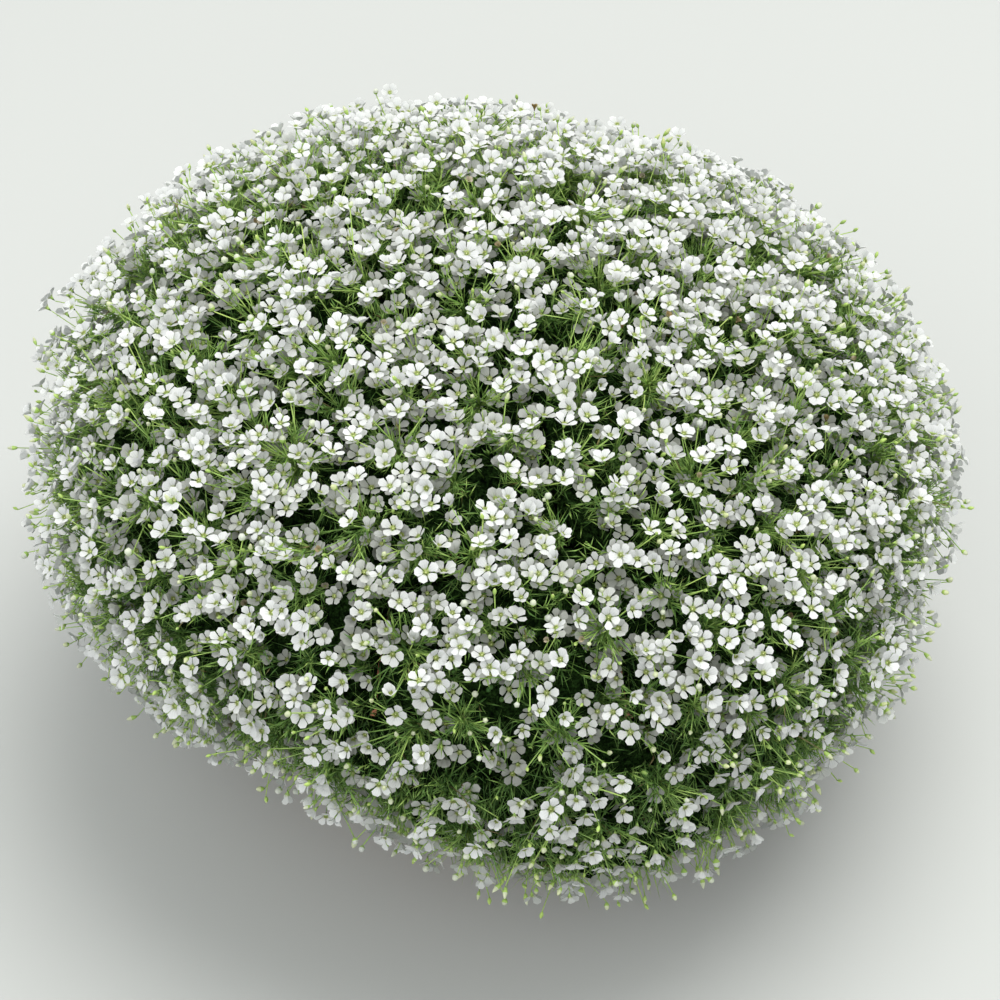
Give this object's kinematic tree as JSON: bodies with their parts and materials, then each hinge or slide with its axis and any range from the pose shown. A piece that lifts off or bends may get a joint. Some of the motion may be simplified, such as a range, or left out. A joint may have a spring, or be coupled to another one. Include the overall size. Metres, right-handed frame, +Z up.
{
  "type": "potted white gypsophila",
  "caption": "Dense round mound of small white gypsophila flowers on thread-fine green stems, growing from soil in a plain tapered pot that its skirt half hides.",
  "frame": {"origin": "middle of the flat underside of the pot", "axes": "+Z up the pot's axis, -Y towards the viewer of the picture, +X to the viewer's right"},
  "size_m": [0.4046, 0.4132, 0.2871],
  "materials": {
    "pot": "matt terracotta",
    "soil": "loose dark potting soil",
    "leaves": "soft satin leaf green",
    "petals": "matt translucent white petal"
  },
  "bodies": {
    "root": {"pot": "pot", "soil": "soil", "leafy_stem_01": "leaves", "blooms_01": "petals", "leafy_stem_02": "leaves", "blooms_02": "petals", "leafy_stem_03": "leaves", "blooms_03": "petals", "leafy_stem_04": "leaves", "blooms_04": "petals", "leafy_stem_05": "leaves", "blooms_05": "petals", "leafy_stem_06": "leaves", "blooms_06": "petals", "leafy_stem_07": "leaves", "blooms_07": "petals", "leafy_stem_08": "leaves", "blooms_08": "petals", "leafy_stem_09": "leaves", "blooms_09": "petals", "leafy_stem_10": "leaves", "blooms_10": "petals", "leafy_stem_11": "leaves", "blooms_11": "petals", "leafy_stem_12": "leaves", "blooms_12": "petals", "leafy_stem_13": "leaves", "blooms_13": "petals", "leafy_stem_14": "leaves", "blooms_14": "petals", "leafy_stem_15": "leaves", "blooms_15": "petals", "leafy_stem_16": "leaves", "blooms_16": "petals", "leafy_stem_17": "leaves", "blooms_17": "petals", "leafy_stem_18": "leaves", "blooms_18": "petals", "leafy_stem_19": "leaves", "blooms_19": "petals", "leafy_stem_20": "leaves", "blooms_20": "petals", "leafy_stem_21": "leaves", "blooms_21": "petals", "leafy_stem_22": "leaves", "blooms_22": "petals", "leafy_stem_23": "leaves", "blooms_23": "petals", "leafy_stem_24": "leaves", "blooms_24": "petals", "leafy_stem_25": "leaves", "blooms_25": "petals", "leafy_stem_26": "leaves", "blooms_26": "petals", "leafy_stem_27": "leaves", "blooms_27": "petals"}
  },
  "joints": []
}
